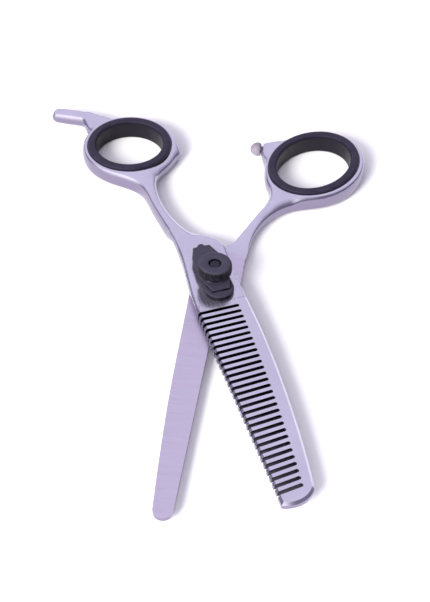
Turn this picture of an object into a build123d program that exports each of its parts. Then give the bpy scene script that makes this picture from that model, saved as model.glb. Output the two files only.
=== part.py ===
from build123d import *
import os

# Thinning shears lying open on a table, in millimetres.
# +Z is up, +Y runs from the pivot towards the handles, and the origin is on the pivot's axis at table level.
# Two levers cross at the pivot. The plain lever lies below the ride plane and the toothed lever above it.
# Each lever is drawn in its own axes: local Y along the lever towards its handle, local X across it.

# ---- driving dimensions ----
ride_z = 3.0             # height of the plane where the two blades slide over each other
ride_gap = 0.10          # play between the blades' inner faces
toothed_lean = 19.2      # angle of the toothed blade from -Y
plain_lean = -8.0        # angle of the plain blade from -Y

blade_thick = 2.6        # both blades, at the pivot
tip_thick = 1.7          # both blades, at the tip
tip_y = -68.4            # local Y of both blades' tips
taper_start_y = -7.4     # where the blades' outer faces begin to thin
edge_chamfer = 0.6       # polished bevel round the outer faces
handle_half = 2.65       # rings and shanks reach this far above and below the ride plane
handle_round = 1.2       # rounding of the rings' and shanks' edges
small_round = 0.6        # rounding of smaller edges

cutting_x = -7.4         # the toothed blade's straight cutting edge
slot_count = 30
slot_pitch = 1.91
slot_width = 0.95
first_slot_y = -9.8
slot_lean = 6.0          # how far the last slot leans from square
slot_inner_x = (3.2, 1.45, 2.85) # a slot's inner end: at the first slot, and how it falls towards the tip
tooth_bevel = (1.0, 0.3)         # width of the bevel on the teeth's ends, and the height left below it
plain_edge_x = 1.7       # the plain blade's straight cutting edge
finger_run_out = (19.3, 22.8)    # local Y where this shank leaves the ride plane, and where it is full height
thumb_run_out = (17.8, 31.0)     # the same for the thumb's shank

rim_overlap = 0.75       # a ring insert's lips reach this far over the metal
insert_half = 3.0        # half an insert's height
insert_wall = 2.55       # an insert's radial thickness at its lips
lip_round = 0.8          # rounding of an insert's lips
seat_half = 2.1          # half the metal's height at the insert's seat
rubber_fit = 0.02        # play between rubber and its seat

finger_centre = (-5.55, 60.6)    # in the toothed lever's axes
finger_radii = (12.05, 12.05)    # outside of the insert's lips
finger_rim = 1.5                 # bare metal outside the insert's lips
thumb_centre = (20.2, 52.0)      # in the plain lever's axes
thumb_radii = (14.9, 12.05)
thumb_rim = 1.3
thumb_metal_centre = (20.6, 51.8)
thumb_turn = 62.8                # direction of the thumb ring's long axis

bush_radius = 2.8
journal_radius = 2.0             # plain part of the pivot screw
thread_radius = 1.5
running_play = 0.04              # radial play of a shaft in its hole
screw_head = (4.2, 1.3)          # radius and thickness
key_size = 4.4                   # square neck that stops the screw turning in the plain lever
ride_washer = (4.6, 3.3, 0.36)   # outer radius, inner radius, thickness

base_thick = 1.4                 # lower tension plate
leaf_thick = 0.8                 # leaf spring on top of it
cone_washer = (3.3, 2.15, 0.25, 0.5)   # outer radius, inner radius, sheet, free height
thrust_washer = (3.5, 1.6, 0.6)  # outer radius, inner radius, thickness
knob_radius = 4.3
knob_height = 3.1
knurl_count = 60
knurl_size = 0.22                # side of the square notches
knob_bevel = (0.5, 0.65)         # width and height
lock_ring = (2.6, 0.9)           # radius and height of the nylon ring inside the knob
stack_play = 0.02                # play between the parts stacked on the screw
screw_edge = 0.25                # rounding of the head and chamfer of the thread's end
screw_below_knob = 0.5           # how far the screw's end lies below the knob's top

base_half_width = 3.75
base_end_y = -7.3
pin_place = (0.6, 13.0)          # in the toothed lever's axes
pin_size = (0.95, 1.7)           # radius and length
pin_depth = 1.3
plate_bevel = (0.3, 0.2)         # lower plate, leaf

rest_root = (-12.3, 77.6)        # finger rest's ends, in the toothed lever's axes
rest_end = (-22.9, 83.7)
rest_size = (3.7, 4.8)           # its height and width
rest_facet = 1.0

lug_x = 4.5                      # end of the bumper's lug, in the plain lever's axes
bumper_y = 58.2                  # in the plain lever's axes
bumper_head = (2.0, 3.1)         # radius and length
bumper_stem = (0.9, 2.4)
bumper_neck = (1.4, 0.2)         # radius behind the head, and its distance from the lug
lug_half = 1.7                   # half the lug's height

over = 1.0                       # how far a cut runs past the metal it leaves

# ---- sizes that follow ----
journal_bore = journal_radius + running_play
thread_bore = thread_radius + running_play
plain_top_z = ride_z - ride_gap / 2
plain_under_z = plain_top_z - blade_thick
toothed_under_z = ride_z + ride_gap / 2
toothed_top_z = toothed_under_z + blade_thick
leaf_z = toothed_top_z + base_thick
cone_z = leaf_z + leaf_thick
thrust_z = cone_z + cone_washer[3] + 2 * stack_play
knob_z = thrust_z + thrust_washer[2] + stack_play

screw_end_z = knob_z + knob_height - screw_below_knob
ride_washer_depth = ride_washer[2] - ride_gap / 2

toothed_axes = Plane.XY.rotated((0, 0, toothed_lean))
plain_axes = Plane.XY.rotated((0, 0, plain_lean))

os.makedirs("parts", exist_ok=True)


def save(part, name):
    """Label one finished piece and write it as the node of that name."""
    part.label = name
    export_step(part, f"parts/{name}.step")


def bevelled_plate(outline, axes, z, side):
    """Lever's flat part: an even joint block and a blade that thins to its tip, bevelled on its outer side.

    z is the height of its inner face, and side is +1 when the outer side is the upper one.
    """
    outer_z = z + side * blade_thick
    start_line = axes.offset(outer_z).from_local_coords((0, taper_start_y, 0))
    tip_line = axes.offset(outer_z).from_local_coords((0, tip_y, side * (tip_thick - blade_thick)))
    thinned = Plane(start_line, x_dir=axes.x_dir, z_dir=axes.x_dir.cross(start_line - tip_line) * side)
    across = Plane(start_line, x_dir=axes.x_dir, z_dir=axes.y_dir)
    pieces = []
    for half, outer_plane in ((Keep.TOP, None), (Keep.BOTTOM, thinned)):
        with BuildPart() as piece:
            extrude(outline, amount=side * blade_thick)
            split(bisect_by=across, keep=half)
            if outer_plane:
                split(bisect_by=outer_plane, keep=Keep.BOTTOM)
            outer_face = piece.faces().filter_by(lambda face: face.normal_at().Z * side > 0.9)
            rim = [edge for edge in outer_face.edges() if abs(across.to_local_coords(edge @ 0.5).Z) > 0.01]
            chamfer(rim, edge_chamfer)
        pieces.append(piece.part)
    return pieces


def level_edges(piece):
    """Edges of a straight extrusion that go round its top and bottom faces."""
    layers = piece.edges().group_by(Axis.Z)
    return layers[0] + layers[-1]


def seat_radii(radii):
    """Radii of the hole in the metal that an insert's waist fills."""
    return (radii[0] - rim_overlap, radii[1] - rim_overlap)


def ring_insert(axes, centre, radii, turn):
    """Rubber grommet of a finger ring: two rounded lips and a waist that sits in the metal."""
    seat = seat_radii(radii)
    with BuildPart() as insert:
        with BuildSketch(axes.offset(ride_z)):
            with Locations(Location(centre + (0,), turn)):
                Ellipse(*radii)
                Ellipse(radii[0] - insert_wall, radii[1] - insert_wall, mode=Mode.SUBTRACT)
        extrude(amount=insert_half, both=True)
        rims = insert.edges().group_by(Axis.Z)
        fillet(rims[0] + rims[-1], radius=lip_round)
        with BuildSketch(axes.offset(ride_z)):
            with Locations(Location(centre + (0,), turn)):
                Ellipse(radii[0] + over, radii[1] + over)
                Ellipse(seat[0] - rubber_fit, seat[1] - rubber_fit, mode=Mode.SUBTRACT)
        extrude(amount=seat_half + rubber_fit, both=True, mode=Mode.SUBTRACT)
    return insert.part


def rounded_handle(outline, axes, joint_y):
    """Ring and shank in one, with every edge rounded but those of the end that runs into the joint block."""
    with BuildPart() as handle:
        extrude(outline, amount=handle_half, both=True)
        rims = [edge for edge in level_edges(handle) if axes.to_local_coords(edge @ 0.5).Y > joint_y]
        fillet(rims, handle_round)
    return handle.part


def ring_hole(axes, centre, radii, turn):
    """What is cut from a ring: the seat for an insert's waist and a ledge under each lip."""
    with BuildPart() as hole:
        with BuildSketch(axes.offset(ride_z)):
            with Locations(Location(centre + (0,), turn)):
                Ellipse(*seat_radii(radii))
        extrude(amount=handle_half + over, both=True)
        for side in (1, -1):
            with BuildSketch(axes.offset(ride_z + side * seat_half)):
                with Locations(Location(centre + (0,), turn)):
                    Ellipse(radii[0] + rubber_fit, radii[1] + rubber_fit)
            extrude(amount=side * over)
    return hole.part


def run_out(axes, inner_z, span, side):
    """What is cut from a shank's inner half, so that the other lever's joint block can swing past it."""
    full_z = ride_z + side * handle_half
    clear_z = full_z + side * over
    with BuildPart() as wedge:
        with BuildSketch(Plane((0, 0, 0), x_dir=axes.y_dir, z_dir=axes.x_dir)):
            Polygon((0, inner_z), (span[0], inner_z), (span[1], full_z), (span[1], clear_z), (0, clear_z),
                    align=None)
        extrude(amount=2 * span[0] / 3, both=True)
    return wedge.part


# ---- toothed lever ----
with BuildSketch(toothed_axes.offset(toothed_under_z)) as toothed_outline:
    with BuildLine():
        edge = Line((cutting_x, -9.5), (cutting_x, tip_y + 0.2))
        tip = Spline(edge @ 1, (-4.0, tip_y - 0.5), (0.2, tip_y + 1.2), (1.2, tip_y + 2.6))
        spine = Spline(tip @ 1, (3.4, -51.6), (5.2, -33.7), (6.0, -17.5), (6.1, 0), (6.9, 12.2))
        corner = Spline(spine @ 1, (6.1, 14.3), (3.3, 17.6), (-1.0, 22.5))
        inner = Line(corner @ 1, (-5.9, 22.5))
        Spline(inner @ 1, (-5.3, 17), (-6.4, 3), edge @ 0)
    make_face()

# ring and shank from the joint, with the spur that the bumper strikes
with BuildSketch(toothed_axes.offset(ride_z)) as finger_outline:
    with BuildLine():
        ring = CenterArc(finger_centre, finger_radii[0] + finger_rim, -7.6, 194.6)
        left = Spline(ring @ 1, (-17.85, 54.85), (-16.2, 52.0), (-14.2, 49.6), (-11.2, 46.8), (-8.2, 43.2),
                      (-6.9, 34.5), (-6.2, 27), (-5.0, 19.4), tangents=(ring % 1, (0.2, -1)))
        end = Line(left @ 1, (0.3, 20.3))
        right = Spline(end @ 1, (-2.2, 26.5), (-3.5, 35), (-3.3, 39.5), (-2.5, 43.4), (-1.0, 46.3),
                       (1.5, 48.75), (4.4, 51.2), (6.0, 52.9), (8.0, 54.4))
        Line(right @ 1, ring @ 0)
    make_face()

# finger rest, an eight-sided bar that leaves the ring away from the pivot
root_point = toothed_axes.from_local_coords(rest_root + (ride_z,))
end_point = toothed_axes.from_local_coords(rest_end + (ride_z,))
with BuildPart() as finger_rest:
    with BuildSketch(Plane(root_point, x_dir=(0, 0, 1), z_dir=end_point - root_point)):
        Rectangle(*rest_size)
        chamfer(vertices(), rest_facet)
    extrude(amount=(end_point - root_point).length)
    chamfer(finger_rest.faces().sort_by(Axis.X)[0].edges(), rest_facet)
with BuildPart() as rest_web:
    with BuildSketch(toothed_axes.offset(ride_z)):
        Polygon((-15.2, 71.6), (-15.2, 76.6), (-12.9, 80.4), (-6.0, 74.4), (-9.0, 70.0), align=None)
    extrude(amount=handle_half - small_round, both=True)
    fillet(level_edges(rest_web), small_round)

with BuildPart() as toothed_blade:
    add(bevelled_plate(toothed_outline.sketch, toothed_axes, toothed_under_z, 1))
    add(rounded_handle(finger_outline.sketch, toothed_axes, joint_y=20.5))
    add(finger_rest.part)
    add(rest_web.part)
    add(ring_hole(toothed_axes, finger_centre, finger_radii, 0), mode=Mode.SUBTRACT)
    add(run_out(toothed_axes, toothed_under_z, finger_run_out, -1), mode=Mode.SUBTRACT)
    # steep bevel that sharpens the teeth's ends
    with BuildSketch(Plane(toothed_axes.from_local_coords((cutting_x, first_slot_y + slot_pitch / 2, 0)),
                           x_dir=toothed_axes.x_dir, z_dir=-toothed_axes.y_dir)):
        Polygon((0, -toothed_under_z - tooth_bevel[1]), (tooth_bevel[0], -toothed_top_z),
                (tooth_bevel[0], -toothed_top_z - over), (-over, -toothed_top_z - over),
                (-over, -toothed_under_z - tooth_bevel[1]), align=None)
    extrude(amount=slot_count * slot_pitch, mode=Mode.SUBTRACT)
    # slots between the teeth, shorter and more leaning towards the tip
    with BuildSketch(toothed_axes.offset(toothed_under_z)):
        for i in range(slot_count):
            along = i / (slot_count - 1)
            inner_x = slot_inner_x[0] - slot_inner_x[1] * along - slot_inner_x[2] * along ** 2
            outer_x = cutting_x - over
            with Locations(((inner_x - slot_width / 2 + outer_x) / 2, first_slot_y - i * slot_pitch)):
                SlotCenterToCenter(inner_x - slot_width / 2 - outer_x, slot_width, rotation=slot_lean * along)
    extrude(amount=blade_thick, mode=Mode.SUBTRACT)
    with BuildSketch(toothed_axes.offset(toothed_under_z)):
        Circle(bush_radius)
    extrude(amount=blade_thick, mode=Mode.SUBTRACT)
    with BuildSketch(toothed_axes.offset(toothed_top_z)):
        with Locations(pin_place):
            Circle(pin_size[0])
    extrude(amount=-pin_depth, mode=Mode.SUBTRACT)
save(toothed_blade.part, "toothed_blade")

save(ring_insert(toothed_axes, finger_centre, finger_radii, 0), "finger_ring_insert")

# ---- plain lever ----
with BuildSketch(plain_axes.offset(plain_top_z)) as plain_outline:
    with BuildLine():
        edge = Line((plain_edge_x, -18), (plain_edge_x, -68.6))
        tip = ThreePointArc(edge @ 1, (-0.4, -70.6), (-2.9, -68.6))
        spine = Spline(tip @ 1, (-3.8, -57), (-5.1, -35), (-5.7, -14), (-6.1, 0), (-6.6, 12.6))
        corner = Spline(spine @ 1, (-5.8, 14.0), (-3.2, 14.9), (-0.2, 16.4), (3.6, 21.8))
        inner = Line(corner @ 1, (7.0, 20.0))
        Spline(inner @ 1, (6.3, 12), (6.2, 0), (4.4, -8), edge @ 0, tangents=((-0.1, -1), (0, -1)))
    make_face()

# ring and shank from the joint
with BuildSketch(plain_axes.offset(ride_z)) as thumb_outline:
    with BuildLine():
        ring = EllipticalCenterArc(thumb_metal_centre, thumb_radii[0] + thumb_rim, thumb_radii[1] + thumb_rim,
                                   start_angle=-138, arc_size=272, rotation=thumb_turn)
        left = Spline(ring @ 1, (7.5, 43.4), (8.6, 40.6), (9.3, 37.9), (9.2, 34.8), (7.4, 29.5), (3.6, 21.5),
                      (0.2, 13.2), tangents=(ring % 1, (-0.37, -0.93)))
        end = Line(left @ 1, (6.4, 12.2))
        Spline(end @ 1, (7.2, 20.5), (10.4, 28.6), (12.8, 31.6), (15.6, 33.9), (19.0, 35.6), ring @ 0,
               tangents=((0.1, 1), ring % 0))
    make_face()

# lug that holds the bumper, on the side of the ring
with BuildPart() as bumper_lug:
    with BuildSketch(plain_axes.offset(ride_z)):
        Polygon((lug_x, 60.0), (lug_x, 56.5), (7.2, 48.0), (12.0, 52.0), (11.0, 62.8), align=None)
    extrude(amount=lug_half, both=True)
    fillet(level_edges(bumper_lug), small_round)

with BuildPart() as plain_blade:
    add(bevelled_plate(plain_outline.sketch, plain_axes, plain_top_z, -1))
    add(rounded_handle(thumb_outline.sketch, plain_axes, joint_y=14.5))
    add(bumper_lug.part)
    add(ring_hole(plain_axes, thumb_centre, thumb_radii, thumb_turn), mode=Mode.SUBTRACT)
    add(run_out(plain_axes, plain_top_z, thumb_run_out, 1), mode=Mode.SUBTRACT)
    with BuildSketch(plain_axes.offset(plain_under_z)):
        Circle(screw_head[0] + stack_play)
    extrude(amount=screw_head[1] - plain_under_z + stack_play, mode=Mode.SUBTRACT)
    with BuildSketch(plain_axes.offset(plain_under_z)):
        Rectangle(key_size + 2 * stack_play, key_size + 2 * stack_play)
    extrude(amount=blade_thick, mode=Mode.SUBTRACT)
    with BuildSketch(plain_axes.offset(plain_top_z)):
        Circle(ride_washer[0] + stack_play)
    extrude(amount=-ride_washer_depth, mode=Mode.SUBTRACT)
    bumper_hole = Plane(plain_axes.from_local_coords((lug_x, bumper_y, ride_z)), z_dir=plain_axes.x_dir)
    with BuildSketch(bumper_hole):
        Circle(bumper_stem[0])
    extrude(amount=bumper_stem[1] + stack_play, mode=Mode.SUBTRACT)
save(plain_blade.part, "plain_blade")

save(ring_insert(plain_axes, thumb_centre, thumb_radii, thumb_turn), "thumb_ring_insert")

# mushroom of soft rubber whose stem is pressed into the lug
head_start = lug_x - bumper_head[1]
with BuildPart() as bumper:
    with BuildSketch(Plane(plain_axes.from_local_coords((0, bumper_y, ride_z)), x_dir=plain_axes.x_dir,
                           z_dir=-plain_axes.y_dir)):
        with BuildLine():
            axis_line = Line((head_start, 0), (lug_x + bumper_stem[1], 0))
            stem = Polyline(axis_line @ 1, (lug_x + bumper_stem[1], bumper_stem[0]), (lug_x, bumper_stem[0]),
                            (lug_x - bumper_neck[1], bumper_neck[0]), (lug_x - 0.4, 0.85 * bumper_head[0]))
            Spline(stem @ 1, (lug_x - 1.5, bumper_head[0]), (head_start + 0.4, 0.65 * bumper_head[0]),
                   axis_line @ 0, tangents=((-0.3, 1), (0, -1)))
        make_face()
    revolve(axis=Axis(plain_axes.from_local_coords((0, bumper_y, ride_z)), plain_axes.x_dir))
save(bumper.part, "bumper")

# ---- pivot ----
with BuildPart() as pivot_screw:
    Cylinder(screw_head[0], screw_head[1], align=(Align.CENTER, Align.CENTER, Align.MIN))
    fillet(pivot_screw.edges().sort_by(Axis.Z)[0], screw_edge)
    with BuildSketch(plain_axes.offset(screw_head[1])):
        Rectangle(key_size, key_size)
    extrude(amount=plain_top_z - screw_head[1])
    with BuildSketch(Plane.XY.offset(plain_top_z)):
        Circle(journal_radius)
    extrude(amount=cone_z - plain_top_z)
    with BuildSketch(Plane.XY.offset(cone_z)):
        Circle(thread_radius)
    extrude(amount=screw_end_z - cone_z)
    chamfer(pivot_screw.edges().sort_by(Axis.Z)[-1], screw_edge)
save(pivot_screw.part, "pivot_screw")


def washer(z, outer, inner, height):
    """Flat ring round the pivot's axis."""
    with BuildPart() as ring:
        with BuildSketch(Plane.XY.offset(z)):
            Circle(outer)
            Circle(inner, mode=Mode.SUBTRACT)
        extrude(amount=height)
    return ring.part


save(washer(plain_top_z - ride_washer_depth, *ride_washer), "ride_washer")
save(washer(toothed_under_z, bush_radius - stack_play, journal_bore, blade_thick), "pivot_bush")
save(washer(thrust_z, *thrust_washer), "thrust_washer")
save(washer(knob_z, lock_ring[0] - stack_play, thread_bore, lock_ring[1]), "knob_lock_ring")

with BuildPart() as tension_base:
    with BuildSketch(toothed_axes.offset(toothed_top_z)):
        with BuildLine():
            side = Polyline((-base_half_width + 1.4, 9.8), (-base_half_width, 2.0), (-base_half_width, -3.6))
            end = ThreePointArc(side @ 1, (0, base_end_y), (base_half_width, -3.6))
            other = Polyline(end @ 1, (base_half_width, 2.0), (base_half_width - 1.4, 9.8))
            Line(other @ 1, side @ 0)
        make_face()
        Circle(journal_bore, mode=Mode.SUBTRACT)
    extrude(amount=base_thick)
    chamfer(tension_base.faces().sort_by(Axis.Z)[-1].outer_wire().edges(), plate_bevel[0])
save(tension_base.part, "tension_base")

with BuildPart() as tension_leaf:
    with BuildSketch(toothed_axes.offset(leaf_z)):
        with BuildLine():
            half = Polyline((0, 11.3), (2.2, 11.2), (3.5, 7.8), (3.95, 3.0), (3.7, -0.4), (2.3, -5.3),
                            (0, -5.3))
            mirror(half, about=Plane.YZ)
        make_face()
        Circle(journal_bore, mode=Mode.SUBTRACT)
    extrude(amount=leaf_thick)
    chamfer(tension_leaf.faces().sort_by(Axis.Z)[-1].outer_wire().edges(), plate_bevel[1])
save(tension_leaf.part, "tension_leaf")

with BuildPart() as locating_pin:
    with BuildSketch(toothed_axes.offset(toothed_top_z - pin_depth)):
        with Locations(pin_place):
            Circle(pin_size[0] - stack_play)
    extrude(amount=pin_size[1])
    fillet(locating_pin.edges().sort_by(Axis.Z)[-1], 0.3)
save(locating_pin.part, "locating_pin")

# dished washer that keeps the knob and the plates pressed apart
with BuildPart() as spring_washer:
    with BuildSketch(Plane.XZ):
        outer, inner, sheet, free_height = cone_washer
        low = cone_z + stack_play
        Polygon((inner, low), (outer, low + free_height - sheet), (outer, low + free_height),
                (inner, low + sheet), align=None)
    revolve(axis=Axis.Z)
save(spring_washer.part, "spring_washer")

with BuildPart() as tension_knob:
    with BuildSketch(Plane.XY.offset(knob_z)):
        Circle(knob_radius)
        with PolarLocations(knob_radius, knurl_count):
            Rectangle(knurl_size, knurl_size, rotation=45, mode=Mode.SUBTRACT)
        Circle(thread_bore, mode=Mode.SUBTRACT)
    extrude(amount=knob_height)
    with BuildSketch(Plane.XZ):
        Polygon((knob_radius - knob_bevel[0], knob_z + knob_height),
                (knob_radius + knob_bevel[0], knob_z + knob_height),
                (knob_radius + knob_bevel[0], knob_z + knob_height - 2 * knob_bevel[1]), align=None)
    revolve(axis=Axis.Z, mode=Mode.SUBTRACT)
    with BuildSketch(Plane.XY.offset(knob_z)):
        Circle(lock_ring[0])
    extrude(amount=lock_ring[1] + stack_play, mode=Mode.SUBTRACT)
save(tension_knob.part, "tension_knob")
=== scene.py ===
import math

import bmesh
import bpy
import numpy as np
from mathutils import Matrix, Vector
from mathutils.bvhtree import BVHTree


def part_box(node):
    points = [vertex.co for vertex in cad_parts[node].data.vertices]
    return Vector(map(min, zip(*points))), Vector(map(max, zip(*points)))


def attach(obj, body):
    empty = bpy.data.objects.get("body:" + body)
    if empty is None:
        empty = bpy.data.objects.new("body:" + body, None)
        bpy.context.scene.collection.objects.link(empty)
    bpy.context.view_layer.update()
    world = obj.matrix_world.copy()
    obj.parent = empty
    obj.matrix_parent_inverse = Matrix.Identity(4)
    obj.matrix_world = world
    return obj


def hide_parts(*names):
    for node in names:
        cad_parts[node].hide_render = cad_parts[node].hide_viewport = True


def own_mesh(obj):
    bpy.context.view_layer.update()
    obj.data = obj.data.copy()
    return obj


bl_info = {
    "name": "Thinning Shears",
    "version": (1, 0, 0),
    "blender": (4, 5, 0),
    "location": "3D View > Sidebar > Shears",
    "description": "Finishes and fine parts of an open pair of thinning shears",
    "category": "Object",
}

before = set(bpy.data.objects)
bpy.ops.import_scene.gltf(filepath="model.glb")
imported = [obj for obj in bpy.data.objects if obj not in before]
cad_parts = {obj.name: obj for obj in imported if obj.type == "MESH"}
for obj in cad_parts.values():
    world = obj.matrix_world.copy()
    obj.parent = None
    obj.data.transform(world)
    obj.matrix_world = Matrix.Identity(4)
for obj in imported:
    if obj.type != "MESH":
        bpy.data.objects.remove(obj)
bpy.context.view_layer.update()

MM = 0.001
WELD_GAP = 0.001 * MM       # split corners of a CAD mesh this close are joined
SAME_PLACE = 0.0001 * MM    # points this close are one

# the levers, as they lie open: a place on one is across it, then along it towards the handle
TOOTHED_LEAN = math.radians(19.2)
PLAIN_LEAN = math.radians(-8.0)
RIDE_HEIGHT = 3.0 * MM      # the plane where the blades slide over each other
HANDLE_HALF = 2.65 * MM     # rings and shanks reach this far above and below it
FINGER_SEAM = -7.4 * MM     # along the toothed lever, where the blade's outer face begins to thin
THUMB_SEAM = 0.0            # along the plain lever, hidden in the joint
SOFT_FROM = 14.0 * MM       # along each lever, where its handle begins to be softly rounded
SOFT_FADE = 9.0 * MM        # the softness grows over this length
SOFT_MOST = 0.5             # share of the way to its neighbours that a point moves in one round
REST_CENTRE = (-17.5, 80.5)     # middle of the finger rest on the toothed lever, in millimetres
REST_REACH = 7.0 * MM       # the finger rest is softened less within this distance
REST_LEAST = 0.3            # share of the softness left at its middle
CREASE = math.radians(28.0)     # edges sharper than this stay crisp
KNOB_CREASE = math.radians(50.0)

# wide bevels on the handles: route along an edge, then width and depth, all in millimetres
FINGER_BEVELS = (
    (((8.6, 54.6), (4.4, 51.0), (-0.6, 46.4)), 3.6, 1.7),
    (((-2.4, 43.0), (-3.3, 36.0), (-2.0, 26.5), (0.6, 20.0)), 3.0, 0.8),
)
THUMB_BEVELS = (
    (((6.9, 17.0), (8.4, 24.5), (11.0, 29.8), (16.0, 34.0)), 3.2, 1.3),
    (((8.4, 42.0), (9.2, 36.5), (8.4, 32.0)), 2.2, 0.6),
)

# regions of the steel, in millimetres on a lever
SLOTS_SPAN = (-66.5, -9.1)      # the slots lie between these, along the toothed lever
SLOTS_START = -9.8              # the first slot
SLOTS_LENGTH = 55.4             # from the first slot to the last
SLOTS_INNER_END = 3.5           # across the lever, at the first slot
SLOTS_TAPER = (1.45, 2.85)      # the inner ends draw in by these, times the way to the tip and its square
TEETH_TIPS = -7.15              # across the lever
JOINT_REACH = 13.9              # the ground face reaches this far from the pivot's axis

# finishes
STEEL_METALLIC = 0.95           # a satin polish scatters a little light
STEEL_WAVE = 0.05 * MM          # depth of the broad waves in a polished face
STEEL_GRAIN = 0.0001 * MM       # depth of the polishing streaks
RUBBER_SKIN = 0.008 * MM        # depth of a moulded skin
LATHE_DEPTH = 0.004 * MM        # depth of turning marks
POLISH_STREAKS = (1.6, 0.05, 0.4)       # streaks per millimetre across, along and up; so with the next three
FINE_STREAKS = (9.0, 0.5, 2.0)
GROUND_BANDS = (0.035, 0.62, 0.0)
GROUND_SCRATCHES = (0.12, 7.0, 0.0)
RUBBER_IOR = 1.5
RUBBER_SCATTER = (0.0016, 0.0010, 0.0009)   # how far red, green and blue light pass into it, in metres
SCREW_BLACKED = 10.5            # the pivot screw is blacked from this height up, in millimetres

# fine parts
BUMPER_ALONG = 58.2 * MM    # along the plain lever
BUMPER_OUTLINE = (          # radius, and place along the bumper, in millimetres
    (0.0, 1.4), (0.45, 1.45), (0.95, 1.68), (1.4, 2.05), (1.75, 2.6), (1.95, 3.2), (1.98, 3.7),
    (1.85, 4.1), (1.6, 4.4), (1.35, 4.5), (0.9, 4.55), (0.88, 6.8), (0.0, 6.85),
)
BUMPER_STEPS = 48
WASHER_BORE = 2.15 * MM     # radius
WASHER_SHEET = 0.25 * MM    # thickness
WASHER_STEPS = 96
SCREW_BORE = 1.54 * MM      # radius of the hole in the knob, round the screw
KNURL_STEPS = 6             # faces across one rib of the knob

# stage
FLOOR_HALF = 4.0                # half of the floor's width, in metres
FLOOR_ROUGHNESS = 0.9
FLOOR_GLOSS = 0.1
KEY_SPOT = Vector((-0.55, -0.75, 0.55))
KEY_WIDTH = 0.5                 # across the main lamp's disk, in metres
SKY_TOWARD = (0.0, 0.6, 0.8)    # the sky is brightest this way
GLOW_GAIN = 1.7                 # the glow is this much brighter than its colour
CAMERA_PLACE = (0.00020, -0.21541, 0.21838)
CAMERA_TILT = math.radians(45.6)
CAMERA_ROLL = math.radians(-1.2)
CAMERA_SENSOR = 36.0            # width, in millimetres
CAMERA_LENS = 71.46             # focal length, in millimetres


def color_property(name, description, default):
    """Colour of a finish, in linear light."""
    return bpy.props.FloatVectorProperty(
        name=name, description=description, default=default, size=3, subtype="COLOR", min=0.0, max=1.0)


def share_property(name, description, default):
    """A value from 0 to 1."""
    return bpy.props.FloatProperty(
        name=name, description=description, default=default, subtype="FACTOR", min=0.0, max=1.0)


# ---- sizes and colours a user may change ----
class SteelSettings(bpy.types.PropertyGroup):
    """Finish of the two levers."""
    face_color: color_property("Faces", "Polished flat faces", (0.70, 0.68, 0.80))
    # painted shade: a darker, shaded copy of the face colour, put on the upright walls
    wall_painted_shade_color: color_property("Walls", "Side walls of rings and shanks", (0.27, 0.24, 0.34))
    ground_color: color_property("Ground face", "Inner face of the plain blade", (0.66, 0.59, 0.73))
    # slot walls: partly their dark cut finish, partly painted shade in the deep narrow slots
    slot_finish_and_shade_color: color_property("Slots", "Walls between the teeth", (0.016, 0.014, 0.025))
    polish: share_property("Roughness", "Roughness of the polished faces", 0.20)
    ground: share_property("Ground roughness", "Roughness of the ground inner face", 0.36)
    softness: bpy.props.IntProperty(
        name="Softness", description="Rounds of smoothing on rings and shanks", default=60, min=0, max=300)
    grain_size: bpy.props.FloatProperty(
        name="Mesh size", description="Size of the faces on rings and shanks", default=0.00028,
        subtype="DISTANCE", unit="LENGTH", min=0.0001)


class RubberSettings(bpy.types.PropertyGroup):
    """Finish of the soft parts."""
    insert_color: color_property("Inserts", "Rubber of the ring inserts", (0.015, 0.012, 0.027))
    bumper_color: color_property("Bumper", "Soft rubber of the bumper", (0.19, 0.165, 0.205))
    insert_roughness: share_property("Insert roughness", "Roughness of the ring inserts", 0.40)
    insert_gloss: share_property("Insert gloss", "Strength of the reflections on the ring inserts", 0.25)
    bumper_roughness: share_property("Bumper roughness", "Roughness of the bumper", 0.35)
    bumper_gloss: share_property("Bumper gloss", "Strength of the reflections on the bumper", 0.5)
    bumper_milkiness: share_property("Bumper milkiness", "Light that passes under the bumper's skin", 0.35)


class PivotSettings(bpy.types.PropertyGroup):
    """Finish of the screw, bush and washers."""
    screw_color: color_property("Screw", "Bright steel of the pivot screw", (0.60, 0.60, 0.64))
    blacked_color: color_property("Screw end", "Blacked end of the pivot screw", (0.05, 0.047, 0.065))
    washer_color: color_property("Washers", "Steel of the spring and thrust washers", (0.50, 0.50, 0.53))
    bush_color: color_property("Bush", "Bronze of the pivot bush", (0.70, 0.50, 0.26))
    nylon_color: color_property("Nylon", "Nylon of the ride washer and lock ring", (0.75, 0.73, 0.69))
    nylon_shade: color_property("Nylon clouds", "Darker clouds in the nylon", (0.62, 0.60, 0.55))
    screw_roughness: share_property("Screw roughness", "Roughness of the pivot screw", 0.28)
    washer_roughness: share_property("Washer roughness", "Roughness of the steel washers", 0.34)
    bush_roughness: share_property("Bush roughness", "Roughness of the bush", 0.35)


class TensionSettings(bpy.types.PropertyGroup):
    """Finish and knurl of the tension parts."""
    coat_color: color_property("Coat", "Black coat of knob and plates", (0.040, 0.037, 0.059))
    # painted shade: a near-black, shaded copy of the coat, put on upright faces
    side_painted_shade_color: color_property("Coat at the sides", "Coat on upright faces", (0.003, 0.0026, 0.0045))
    coat_roughness: share_property("Coat roughness", "Roughness of the black coat", 0.40)
    coat_gloss: share_property("Coat gloss", "Strength of the coat's reflections", 0.12)
    knurl_count: bpy.props.IntProperty(
        name="Knurl ribs", description="Ribs round the knob", default=60, min=12, max=120)
    knurl_depth: bpy.props.FloatProperty(
        name="Knurl depth", description="Depth between ribs", default=0.00014,
        subtype="DISTANCE", unit="LENGTH")


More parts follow.
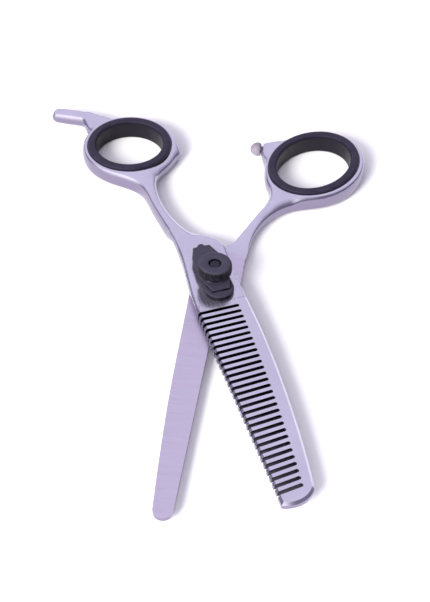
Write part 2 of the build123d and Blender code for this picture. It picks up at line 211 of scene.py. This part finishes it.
class StudioSettings(bpy.types.PropertyGroup):
    """Floor and light."""
    floor_color: color_property("Floor", "Floor the shears lie on", (0.90, 0.90, 0.90))
    sky_color: color_property("Sky", "Bright sky behind the shears", (0.83, 0.79, 0.97))
    low_sky_color: color_property("Low sky", "Dimmer sky in front and near the horizon", (0.22, 0.20, 0.30))
    glow_color: color_property("Glow", "Soft bright part of the sky in front, to the left", (1.0, 0.97, 1.0))
    key_color: color_property("Key", "Main light", (1.0, 0.98, 0.94))
    sky_strength: bpy.props.FloatProperty(
        name="Sky strength", description="Brightness of the light from all round", default=0.93, min=0.0)
    key_power: bpy.props.FloatProperty(
        name="Key power", description="Power of the main light", default=20.0, unit="POWER", min=0.0)


# ---- shader building ----
def new_material(name):
    """A new material with its tree and shader."""
    material = bpy.data.materials.new(name)
    material.use_nodes = True
    tree = material.node_tree
    return material, tree, tree.nodes["Principled BSDF"]


def node(tree, kind, settings=None, inputs=None):
    """Adds one node, sets its options, and fills its sockets with values or links."""
    made = tree.nodes.new(kind)
    for key, value in (settings or {}).items():
        setattr(made, key, value)
    for key, value in (inputs or {}).items():
        if isinstance(value, bpy.types.NodeSocket):
            tree.links.new(value, made.inputs[key])
        else:
            made.inputs[key].default_value = value
    return made


def calc(tree, operation, first, second=0.0, third=0.0):
    """One sum on up to three values."""
    return node(tree, "ShaderNodeMath", {"operation": operation}, {0: first, 1: second, 2: third}).outputs[0]


def vector_calc(tree, operation, first, second=(0.0, 0.0, 0.0)):
    """One sum on vectors: its node."""
    return node(tree, "ShaderNodeVectorMath", {"operation": operation}, {0: first, 1: second})


def step(tree, value, low, high, at_low=0.0, at_high=1.0):
    """Smooth step of a value, from at_low at low to at_high at high."""
    return node(tree, "ShaderNodeMapRange", {"interpolation_type": "SMOOTHSTEP"},
                {"Value": value, "From Min": low, "From Max": high,
                 "To Min": at_low, "To Max": at_high}).outputs[0]


def above(tree, value, edge, blur=0.1):
    """1 where a value is above an edge, 0 below it."""
    return step(tree, value, edge - blur, edge + blur)


def below(tree, value, edge, blur=0.1):
    """1 where a value is below an edge, 0 above it."""
    return step(tree, value, edge + blur, edge - blur)


def blend_values(tree, factor, first, second):
    """Mixes two values by a factor."""
    return node(tree, "ShaderNodeMix", None, {0: factor, 2: first, 3: second}).outputs[0]


def blend_colors(tree, factor, first, second):
    """Mixes two colours by a factor."""
    made = node(tree, "ShaderNodeMix", {"data_type": "RGBA"}, {0: factor})
    for index, value in ((6, first), (7, second)):
        if isinstance(value, bpy.types.NodeSocket):
            tree.links.new(value, made.inputs[index])
        else:
            made.inputs[index].default_value = (*value, 1.0)
    return made.outputs[2]


def toned(color, factor, lift=0.0):
    """A colour made darker or lighter, at most 1."""
    return tuple(min(1.0, part * factor + lift) for part in color)


def place_in_mm(tree, lean=0.0):
    """Place in millimetres, with Y along a lever when its lean is given."""
    coords = node(tree, "ShaderNodeTexCoord").outputs["Object"]
    return node(tree, "ShaderNodeMapping", None,
                {"Vector": coords, "Rotation": (0.0, 0.0, -lean), "Scale": 3 * (1 / MM,)}).outputs[0]


def scaled(tree, vector, factors):
    """A vector with each axis multiplied."""
    return vector_calc(tree, "MULTIPLY", vector, factors).outputs[0]


def from_axis(tree, place):
    """Distance from the pivot's axis."""
    return vector_calc(tree, "LENGTH", scaled(tree, place, (1.0, 1.0, 0.0))).outputs["Value"]


def noise(tree, vector, scale, detail=3.0):
    """Noise value at a place."""
    return node(tree, "ShaderNodeTexNoise", None,
                {"Vector": vector, "Scale": scale, "Detail": detail}).outputs["Fac"]


def turning_marks(tree, place, scale, detail):
    """Fine rings left by a lathe, about the pivot's axis."""
    return node(tree, "ShaderNodeTexNoise", {"noise_dimensions": "1D"},
                {"W": from_axis(tree, place), "Scale": scale, "Detail": detail}).outputs["Fac"]


def upright(tree):
    """0 on level faces, 1 on side walls."""
    normal = node(tree, "ShaderNodeNewGeometry").outputs["Normal"]
    level = calc(tree, "ABSOLUTE", node(tree, "ShaderNodeSeparateXYZ", None, {0: normal}).outputs[2])
    return step(tree, level, 0.25, 0.97, 1.0, 0.0)


def bumped(tree, height, distance, under=None):
    """Bump from a height, on top of an earlier bump."""
    inputs = {"Height": height, "Distance": distance}
    if under:
        inputs["Normal"] = under
    return node(tree, "ShaderNodeBump", None, inputs).outputs[0]


# ---- materials ----
def slot_walls(tree, across, along, wall):
    """1 on the walls of the slots between the teeth, 0 elsewhere."""
    part = calc(tree, "DIVIDE", calc(tree, "SUBTRACT", SLOTS_START, along), SLOTS_LENGTH)
    slope, curve = SLOTS_TAPER
    drawn_in = calc(tree, "MULTIPLY", part, calc(tree, "MULTIPLY_ADD", part, curve, slope))
    inside = below(tree, calc(tree, "ADD", across, drawn_in), SLOTS_INNER_END)
    for limit in (above(tree, across, TEETH_TIPS), above(tree, along, SLOTS_SPAN[0]),
                  below(tree, along, SLOTS_SPAN[1]), step(tree, wall, 0.45, 0.6)):
        inside = calc(tree, "MULTIPLY", inside, limit)
    return inside


def lever_steel(name, look, lean, toothed):
    """Polished stainless steel, with painted shade on the side walls. The toothed lever has slots darkened
    partly by their cut finish and partly by painted shade, the plain one a ground inner face.
    """
    material, tree, shader = new_material(name)
    place = place_in_mm(tree, lean)
    across, along, _ = node(tree, "ShaderNodeSeparateXYZ", None, {0: place}).outputs
    wall = upright(tree)
    # painted shade: upright walls take the darker, shaded steel colour
    color = blend_colors(tree, wall, look.face_color, look.wall_painted_shade_color)
    cloud = step(tree, noise(tree, place, 0.11), 0.3, 0.7, 0.0, 0.12)
    color = blend_colors(tree, cloud, color, look.wall_painted_shade_color)
    streaks = noise(tree, scaled(tree, place, POLISH_STREAKS), 1.0, 4.0)
    fine = noise(tree, scaled(tree, place, FINE_STREAKS), 1.0, 2.0)
    roughness = step(tree, streaks, 0.25, 0.75, look.polish - 0.05, look.polish + 0.05)
    if toothed:
        # dark slot walls: partly their cut finish, partly painted shade
        color = blend_colors(tree, slot_walls(tree, across, along, wall), color, look.slot_finish_and_shade_color)
    else:
        near = calc(tree, "MAXIMUM", below(tree, from_axis(tree, place), JOINT_REACH, 0.05),
                    below(tree, along, -0.5, 0.5))
        face = calc(tree, "MULTIPLY", near, calc(tree, "SUBTRACT", 1.0, wall))
        band = noise(tree, scaled(tree, place, GROUND_BANDS), 1.0)
        scratch = noise(tree, scaled(tree, place, GROUND_SCRATCHES), 1.0, 2.0)
        lighter = step(tree, band, 0.35, 0.65, 0.0, 0.45)
        ground = blend_colors(tree, lighter, look.ground_color, look.face_color)
        darker = step(tree, scratch, 0.55, 0.75, 0.0, 0.25)
        ground = blend_colors(tree, darker, ground, look.wall_painted_shade_color)
        color = blend_colors(tree, face, color, ground)
        rough_ground = step(tree, band, 0.3, 0.7, look.ground - 0.05, look.ground + 0.06)
        roughness = blend_values(tree, face, roughness, rough_ground)
        fine = blend_values(tree, face, fine, scratch)
    tree.links.new(color, shader.inputs["Base Color"])
    tree.links.new(roughness, shader.inputs["Roughness"])
    shader.inputs["Metallic"].default_value = STEEL_METALLIC
    wave = bumped(tree, noise(tree, place, 0.16, 1.0), STEEL_WAVE)
    tree.links.new(bumped(tree, fine, STEEL_GRAIN, wave), shader.inputs["Normal"])
    return material


def soft_rubber(name, color, roughness, gloss, milkiness=0.0):
    """Moulded rubber with a fine skin and faint bloom, lit from within where milky, else with painted shade
    on its upright walls.
    """
    material, tree, shader = new_material(name)
    place = place_in_mm(tree)
    bloom = noise(tree, place, 0.35, 4.0)
    skin = blend_colors(tree, step(tree, bloom, 0.35, 0.75, 0.0, 0.6), color, toned(color, 1.5, 0.008))
    if milkiness:
        shader.inputs["Subsurface Weight"].default_value = milkiness
        shader.inputs["Subsurface Radius"].default_value = RUBBER_SCATTER
        shader.inputs["Subsurface Scale"].default_value = 1.0
    else:
        # painted shade: upright walls darkened to 35% of the rubber's colour
        skin = blend_colors(tree, step(tree, upright(tree), 0.6, 1.0), skin, toned(color, 0.35))
    tree.links.new(skin, shader.inputs["Base Color"])
    rough = step(tree, bloom, 0.3, 0.7, roughness - 0.05, roughness + 0.07)
    tree.links.new(rough, shader.inputs["Roughness"])
    tree.links.new(bumped(tree, noise(tree, place, 7.0, 2.0), RUBBER_SKIN), shader.inputs["Normal"])
    shader.inputs["Specular IOR Level"].default_value = gloss
    shader.inputs["IOR"].default_value = RUBBER_IOR
    return material


def black_coat(name, look, turned=False):
    """Black coating, lighter on level faces and with painted shade on upright faces, with turning marks on
    the knob.
    """
    material, tree, shader = new_material(name)
    place = place_in_mm(tree)
    cloud = noise(tree, place, 0.7, 4.0)
    # painted shade: upright faces take the near-black, shaded coat colour
    color = blend_colors(tree, upright(tree), look.coat_color, look.side_painted_shade_color)
    lighter = step(tree, cloud, 0.4, 0.75, 0.0, 0.35)
    color = blend_colors(tree, lighter, color, toned(look.coat_color, 1.35))
    height = noise(tree, place, 9.0, 2.0)
    if turned:
        height = calc(tree, "ADD", height, turning_marks(tree, place, 9.0, 1.0))
    tree.links.new(color, shader.inputs["Base Color"])
    rough = step(tree, cloud, 0.3, 0.7, look.coat_roughness - 0.06, look.coat_roughness + 0.06)
    tree.links.new(rough, shader.inputs["Roughness"])
    tree.links.new(bumped(tree, height, LATHE_DEPTH), shader.inputs["Normal"])
    shader.inputs["Specular IOR Level"].default_value = look.coat_gloss
    return material


def turned_metal(name, color, roughness, blacked=None):
    """Bright metal turned about the pivot's axis. Blacked holds a colour and the height it starts at."""
    material, tree, shader = new_material(name)
    place = place_in_mm(tree)
    marks = turning_marks(tree, place, 12.0, 2.0)
    tone = blend_colors(tree, marks, toned(color, 0.8), color)
    if blacked:
        black, start_height = blacked
        height = node(tree, "ShaderNodeSeparateXYZ", None, {0: place}).outputs[2]
        tone = blend_colors(tree, step(tree, height, start_height, start_height + 0.1), tone, black)
    tree.links.new(tone, shader.inputs["Base Color"])
    rough = step(tree, marks, 0.3, 0.7, roughness - 0.05, roughness + 0.08)
    tree.links.new(rough, shader.inputs["Roughness"])
    tree.links.new(bumped(tree, marks, LATHE_DEPTH), shader.inputs["Normal"])
    shader.inputs["Metallic"].default_value = 1.0
    return material


def nylon(name, shade, color):
    """Milky nylon with faint clouds."""
    material, tree, shader = new_material(name)
    cloud = noise(tree, place_in_mm(tree), 1.2)
    tree.links.new(blend_colors(tree, cloud, shade, color), shader.inputs["Base Color"])
    tree.links.new(step(tree, cloud, 0.3, 0.7, 0.4, 0.5), shader.inputs["Roughness"])
    return material


# ---- meshes ----
def bmesh_to_mesh(work, name):
    """Turns finished bmesh work into a mesh, and frees the work."""
    mesh = bpy.data.meshes.new(name)
    work.to_mesh(mesh)
    work.free()
    return mesh


def welded(source):
    """A copy of a CAD node's mesh with its split corners joined."""
    work = bmesh.new()
    work.from_mesh(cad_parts[source].data)
    bmesh.ops.remove_doubles(work, verts=work.verts, dist=WELD_GAP)
    return work


def cut_across(work, direction, place, keep_far):
    """Cuts a mesh square to a direction and closes the cut. Keeps the far or the near side."""
    everything = work.verts[:] + work.edges[:] + work.faces[:]
    bmesh.ops.bisect_plane(work, geom=everything, dist=SAME_PLACE, plane_co=direction * place,
                           plane_no=direction, clear_inner=keep_far, clear_outer=not keep_far)
    bmesh.ops.holes_fill(work, edges=[edge for edge in work.edges if edge.is_boundary])


def even_mesh(context, work, size):
    """Rebuilds a closed mesh from even small faces."""
    rough = bpy.data.meshes.new("rough")
    work.to_mesh(rough)
    holder = bpy.data.objects.new("rough", rough)
    context.scene.collection.objects.link(holder)
    remesh = holder.modifiers.new("even", "REMESH")
    remesh.mode = "VOXEL"
    remesh.voxel_size = size
    mesh = bpy.data.meshes.new_from_object(holder.evaluated_get(context.evaluated_depsgraph_get()))
    bpy.data.objects.remove(holder)
    bpy.data.meshes.remove(rough)
    return mesh


def lever_along(lean):
    """Unit vector along a lever, towards its handle."""
    return Vector((-math.sin(lean), math.cos(lean), 0.0))


def lever_across(lean):
    """Unit vector across a lever."""
    return Vector((math.cos(lean), math.sin(lean), 0.0))


def on_lever(points, lean):
    """Points as places across and along a lever."""
    return points @ np.array((lever_across(lean), lever_along(lean))).T


def eased(part):
    """Smooth rise from 0 to 1."""
    part = np.clip(part, 0.0, 1.0)
    return part * part * (3.0 - 2.0 * part)


def route_distance(places, route):
    """Distance of each place from a line of straight runs."""
    nearest = np.full(len(places), np.inf)
    for start, end in zip(route[:-1], route[1:]):
        run = end - start
        part = np.clip((places - start) @ run / (run @ run), 0.0, 1.0)
        nearest = np.minimum(nearest, np.linalg.norm(places - start - part[:, None] * run, axis=1))
    return nearest


def ease_edge(points, lean, route, width, depth):
    """Lowers the upper side of a handle towards one of its edges, as a wide polished bevel."""
    fall = eased(1.0 - route_distance(on_lever(points, lean), np.array(route) * MM) / width)
    points[:, 2] -= depth * fall * np.clip((points[:, 2] - RIDE_HEIGHT) / HANDLE_HALF, 0.0, 1.0)


def smooth(points, mesh, share, rounds):
    """Draws each point towards the middle of its neighbours by its own share, over and over."""
    ends = np.empty(2 * len(mesh.edges), dtype=np.int64)
    mesh.edges.foreach_get("vertices", ends)
    first, second = ends[0::2], ends[1::2]
    count = len(points)
    neighbours = np.bincount(ends, minlength=count)
    for _ in range(rounds):
        for axis in range(3):
            line = points[:, axis]
            total = np.bincount(first, line[second], count) + np.bincount(second, line[first], count)
            points[:, axis] = line + share * (total / neighbours - line)


def soft_metal(context, source, lean, seam, bevels, look):
    """The handle's side of a lever, forged and polished: an even mesh on the CAD surface, then smoothed."""
    work = welded(source)
    cut_across(work, lever_along(lean), seam, keep_far=True)
    surface = BVHTree.FromBMesh(work)
    mesh = even_mesh(context, work, look.grain_size)
    work.free()
    points = np.array([surface.find_nearest(vertex.co)[0] for vertex in mesh.vertices])
    places = on_lever(points, lean)
    share = SOFT_MOST * eased((places[:, 1] - SOFT_FROM) / SOFT_FADE)
    if source == "toothed_blade":
        from_rest = np.linalg.norm(places - np.array(REST_CENTRE) * MM, axis=1)
        share = share * np.clip(from_rest / REST_REACH, REST_LEAST, 1.0)
    for route, width, depth in bevels:
        ease_edge(points, lean, route, width * MM, depth * MM)
    smooth(points, mesh, share, look.softness)
    mesh.vertices.foreach_set("co", points.ravel())
    mesh.update()
    return mesh


def machined_metal(source, lean, seam):
    """The blade's side of a lever, with its flat faces and crisp edges."""
    work = welded(source)
    cut_across(work, lever_along(lean), seam, keep_far=False)
    return bmesh_to_mesh(work, source)


def turned_mesh(name, outline, steps, ribs=None):
    """Lathe work round Z from an outline of radius and height, with ribs: count, depth and share by point."""
    count, depth, shares = ribs or (0, 0.0, {})
    work = bmesh.new()
    rings = []
    for index in range(steps):
        turn = 2.0 * math.pi * index / steps
        dip = depth * (0.5 - 0.5 * math.cos(count * turn))
        ring = []
        for number, (reach, height) in enumerate(outline):
            reach = reach - dip * shares.get(number, 0.0)
            ring.append(work.verts.new((reach * math.cos(turn), reach * math.sin(turn), height)))
        rings.append(ring)
    for ring, after in zip(rings, rings[1:] + rings[:1]):
        for number in range(len(outline)):
            beyond = (number + 1) % len(outline)
            if outline[number][0] or outline[beyond][0]:
                work.faces.new((ring[number], ring[beyond], after[beyond], after[number]))
    bmesh.ops.remove_doubles(work, verts=work.verts, dist=SAME_PLACE)
    bmesh.ops.recalc_face_normals(work, faces=work.faces)
    mesh = bmesh_to_mesh(work, name)
    mesh.shade_smooth()
    return mesh


def show(context, mesh, material, body, stands_for):
    """Places a finished mesh as a piece of the shears, named as its mesh is."""
    mesh.materials.append(material)
    piece = bpy.data.objects.new(mesh.name, mesh)
    context.scene.collection.objects.link(piece)
    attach(piece, body)
    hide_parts(stands_for)
    return piece


def finish(names, material):
    """Gives CAD nodes their material."""
    for name in names:
        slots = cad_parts[name].data.materials
        slots.clear()
        slots.append(material)


# ---- pieces and their operators ----
def worked_lever(context, name, source, body, lean, seam, bevels, material):
    """One lever: machined blade and soft handle in one piece of steel."""
    work = bmesh.new()
    work.from_mesh(machined_metal(source, lean, seam))
    work.from_mesh(soft_metal(context, source, lean, seam, bevels, context.scene.shears_steel))
    mesh = bmesh_to_mesh(work, name)
    # the CAD mesh's stored normals no longer fit the cut faces
    if "custom_normal" in mesh.attributes:
        mesh.attributes.remove(mesh.attributes["custom_normal"])
    mesh.shade_smooth()
    mesh.set_sharp_from_angle(angle=CREASE)
    show(context, mesh, material, body, source)


class SHEARS_OT_levers(bpy.types.Operator):
    """Finish both levers in polished steel"""
    bl_idname = "shears.levers"
    bl_label = "Levers"

    def execute(self, context):
        look = context.scene.shears_steel
        worked_lever(context, "toothed_lever_metal", "toothed_blade", "toothed_lever",
                     TOOTHED_LEAN, FINGER_SEAM, FINGER_BEVELS,
                     lever_steel("toothed_lever_steel", look, TOOTHED_LEAN, True))
        worked_lever(context, "plain_lever_metal", "plain_blade", "plain_lever",
                     PLAIN_LEAN, THUMB_SEAM, THUMB_BEVELS,
                     lever_steel("plain_lever_steel", look, PLAIN_LEAN, False))
        return {"FINISHED"}


class SHEARS_OT_rings(bpy.types.Operator):
    """Finish the rubber ring inserts"""
    bl_idname = "shears.rings"
    bl_label = "Ring inserts"

    def execute(self, context):
        look = context.scene.shears_rubber
        finish(["finger_ring_insert", "thumb_ring_insert"],
               soft_rubber("insert_rubber", look.insert_color, look.insert_roughness, look.insert_gloss))
        return {"FINISHED"}


def bumper_mushroom(context, material):
    """Bumper: a round soft head, a narrow neck, and a stem pressed into the lug."""
    outline = [(reach * MM, place * MM) for reach, place in BUMPER_OUTLINE]
    mesh = turned_mesh("bumper_mushroom", outline, BUMPER_STEPS)
    along = lever_along(PLAIN_LEAN)
    upward = Vector((0.0, 0.0, 1.0))
    base = along * BUMPER_ALONG + upward * RIDE_HEIGHT
    turn = Matrix((upward, along, lever_across(PLAIN_LEAN))).transposed().to_4x4()
    mesh.transform(Matrix.Translation(base) @ turn)
    show(context, mesh, material, "plain_lever", "bumper")


class SHEARS_OT_bumper(bpy.types.Operator):
    """Make the bumper between the rings"""
    bl_idname = "shears.bumper"
    bl_label = "Bumper"

    def execute(self, context):
        look = context.scene.shears_rubber
        bumper_mushroom(context, soft_rubber("bumper_rubber", look.bumper_color, look.bumper_roughness,
                                             look.bumper_gloss, look.bumper_milkiness))
        return {"FINISHED"}


def dished_washer(context, material):
    """Spring washer, dished, made in its resting shape; it is not made to flatten under the knob."""
    low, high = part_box("spring_washer")
    outer = high[0]
    outline = [(WASHER_BORE, low[2]), (outer, high[2] - WASHER_SHEET), (outer, high[2]),
               (WASHER_BORE, low[2] + WASHER_SHEET)]
    mesh = turned_mesh("dished_washer", outline, WASHER_STEPS)
    mesh.set_sharp_from_angle(angle=CREASE)
    washer = show(context, mesh, material, "toothed_lever", "spring_washer")
    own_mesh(washer)


class SHEARS_OT_pivot(bpy.types.Operator):
    """Finish the pivot screw and bush, and make the spring washer"""
    bl_idname = "shears.pivot"
    bl_label = "Pivot"

    def execute(self, context):
        look = context.scene.shears_pivot
        finish(["pivot_screw"], turned_metal("screw_steel", look.screw_color, look.screw_roughness,
                                             (look.blacked_color, SCREW_BLACKED)))
        washer_steel = turned_metal("washer_steel", look.washer_color, look.washer_roughness)
        finish(["thrust_washer"], washer_steel)
        dished_washer(context, washer_steel)
        finish(["pivot_bush"], turned_metal("bush_bronze", look.bush_color, look.bush_roughness))
        finish(["ride_washer", "knob_lock_ring"], nylon("nylon", look.nylon_shade, look.nylon_color))
        return {"FINISHED"}


def knurled_knob(context, look, material):
    """Knob turned on a lathe: bored through, with a rounded crown and fine ribs round its side."""
    low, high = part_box("tension_knob")
    radius = (high[0] - low[0]) / 2
    bottom, top = low[2], high[2]
    bore = SCREW_BORE
    outline = [(bore, bottom), (bore, top - 0.34 * MM), (bore + 0.07 * MM, top - 0.16 * MM),
               (bore + 0.24 * MM, top - 0.08 * MM), (2.6 * MM, top - 0.02 * MM), (3.3 * MM, top),
               (3.62 * MM, top - 0.03 * MM), (3.86 * MM, top - 0.12 * MM), (4.05 * MM, top - 0.26 * MM),
               (4.18 * MM, top - 0.45 * MM), (radius, top - 0.72 * MM), (radius, bottom + 0.5 * MM),
               (radius - 0.08 * MM, bottom + 0.25 * MM), (radius - 0.30 * MM, bottom)]
    ribbed = {9: 0.5, 10: 1.0, 11: 1.0, 12: 0.5}    # share of the ribs' depth, by point of the outline
    mesh = turned_mesh("knurled_knob", outline, KNURL_STEPS * look.knurl_count,
                       (look.knurl_count, look.knurl_depth, ribbed))
    mesh.set_sharp_from_angle(angle=KNOB_CREASE)
    show(context, mesh, material, "knob", "tension_knob")


class SHEARS_OT_tension(bpy.types.Operator):
    """Finish the plates and pin, and make the tension knob"""
    bl_idname = "shears.tension"
    bl_label = "Tension knob and plates"

    def execute(self, context):
        look = context.scene.shears_tension
        finish(["tension_base", "tension_leaf", "locating_pin"], black_coat("plate_coat", look))
        knurled_knob(context, look, black_coat("knob_coat", look, turned=True))
        return {"FINISHED"}


class SHEARS_OT_stage(bpy.types.Operator):
    """Lay the floor, light it, and set the camera"""
    bl_idname = "shears.stage"
    bl_label = "Floor, light and camera"

    def execute(self, context):
        scene = context.scene
        look = scene.shears_studio
        self.floor(scene, look)
        self.sky(scene, look)
        self.key_light(scene, look)
        self.camera(scene)
        scene.view_settings.view_transform = "Standard"
        return {"FINISHED"}

    def floor(self, scene, look):
        """Wide pale floor under the object."""
        half = FLOOR_HALF
        mesh = bpy.data.meshes.new("floor")
        corners = [(-half, -half, 0.0), (half, -half, 0.0), (half, half, 0.0), (-half, half, 0.0)]
        mesh.from_pydata(corners, [], [(0, 1, 2, 3)])
        floor = bpy.data.objects.new("floor", mesh)
        scene.collection.objects.link(floor)
        material, _, shader = new_material("floor_paint")
        shader.inputs["Base Color"].default_value = (*look.floor_color, 1.0)
        shader.inputs["Roughness"].default_value = FLOOR_ROUGHNESS
        shader.inputs["Specular IOR Level"].default_value = FLOOR_GLOSS
        mesh.materials.append(material)

    def sky(self, scene, look):
        """Soft light from all round, brightest high up at the back, with a glow where the main light is."""
        world = bpy.data.worlds.new("studio")
        world.use_nodes = True
        scene.world = world
        tree = world.node_tree
        direction = node(tree, "ShaderNodeTexCoord").outputs["Generated"]
        toward_back = vector_calc(tree, "DOT_PRODUCT", direction, SKY_TOWARD).outputs["Value"]
        toward_key = vector_calc(tree, "DOT_PRODUCT", direction, KEY_SPOT.normalized()).outputs["Value"]
        color = blend_colors(tree, step(tree, toward_back, 0.35, 0.85), look.low_sky_color, look.sky_color)
        glow = tuple(GLOW_GAIN * part for part in look.glow_color)
        background = tree.nodes["Background"]
        tree.links.new(blend_colors(tree, step(tree, toward_key, 0.50, 0.92), color, glow),
                       background.inputs["Color"])
        background.inputs["Strength"].default_value = look.sky_strength

    def key_light(self, scene, look):
        """Wide main light from the left and front. The metal mirrors the sky's glow in place of the lamp."""
        data = bpy.data.lights.new("key", "AREA")
        data.shape = "DISK"
        data.size = KEY_WIDTH
        data.energy = look.key_power
        data.color = look.key_color
        lamp = bpy.data.objects.new("key", data)
        lamp.location = KEY_SPOT
        lamp.rotation_euler = (-KEY_SPOT).to_track_quat("-Z", "Y").to_euler()
        lamp.visible_glossy = False
        scene.collection.objects.link(lamp)

    def camera(self, scene):
        """Camera above the tips, looking down along the shears."""
        right = Vector((1.0, 0.0, 0.0))
        up = Vector((0.0, math.sin(CAMERA_TILT), math.cos(CAMERA_TILT)))
        back = Vector((0.0, -math.cos(CAMERA_TILT), math.sin(CAMERA_TILT)))
        across = math.cos(CAMERA_ROLL) * right - math.sin(CAMERA_ROLL) * up
        above_it = math.sin(CAMERA_ROLL) * right + math.cos(CAMERA_ROLL) * up
        data = bpy.data.cameras.new("camera")
        data.sensor_width = CAMERA_SENSOR
        data.lens = CAMERA_LENS
        camera = bpy.data.objects.new("camera", data)
        turn = Matrix((across, above_it, back)).transposed().to_4x4()
        camera.matrix_world = Matrix.Translation(CAMERA_PLACE) @ turn
        scene.collection.objects.link(camera)
        scene.camera = camera


class SHEARS_PT_sidebar(bpy.types.Panel):
    """Lists the shears' parts"""
    bl_idname = "SHEARS_PT_sidebar"
    bl_label = "Thinning Shears"
    bl_space_type = "VIEW_3D"
    bl_region_type = "UI"
    bl_category = "Shears"

    def draw(self, context):
        for group in GROUPS:
            settings = getattr(context.scene, group)
            for key in settings.__annotations__:
                self.layout.prop(settings, key)
        for operator in OPERATORS:
            self.layout.operator(operator.bl_idname)


GROUPS = {
    "shears_steel": SteelSettings,
    "shears_rubber": RubberSettings,
    "shears_pivot": PivotSettings,
    "shears_tension": TensionSettings,
    "shears_studio": StudioSettings,
}
OPERATORS = (SHEARS_OT_levers, SHEARS_OT_rings, SHEARS_OT_bumper, SHEARS_OT_pivot, SHEARS_OT_tension,
             SHEARS_OT_stage)
CLASSES = (*GROUPS.values(), *OPERATORS, SHEARS_PT_sidebar)


def register():
    """Adds the classes and the settings."""
    for item in CLASSES:
        bpy.utils.register_class(item)
    for name, group in GROUPS.items():
        setattr(bpy.types.Scene, name, bpy.props.PointerProperty(type=group))


def unregister():
    """Takes the settings and the classes away."""
    for name in GROUPS:
        delattr(bpy.types.Scene, name)
    for item in reversed(CLASSES):
        bpy.utils.unregister_class(item)


def main():
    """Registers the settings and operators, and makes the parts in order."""
    register()
    bpy.ops.shears.levers()
    bpy.ops.shears.rings()
    bpy.ops.shears.bumper()
    bpy.ops.shears.pivot()
    bpy.ops.shears.tension()
    bpy.ops.shears.stage()


if __name__ == "__main__":
    main()
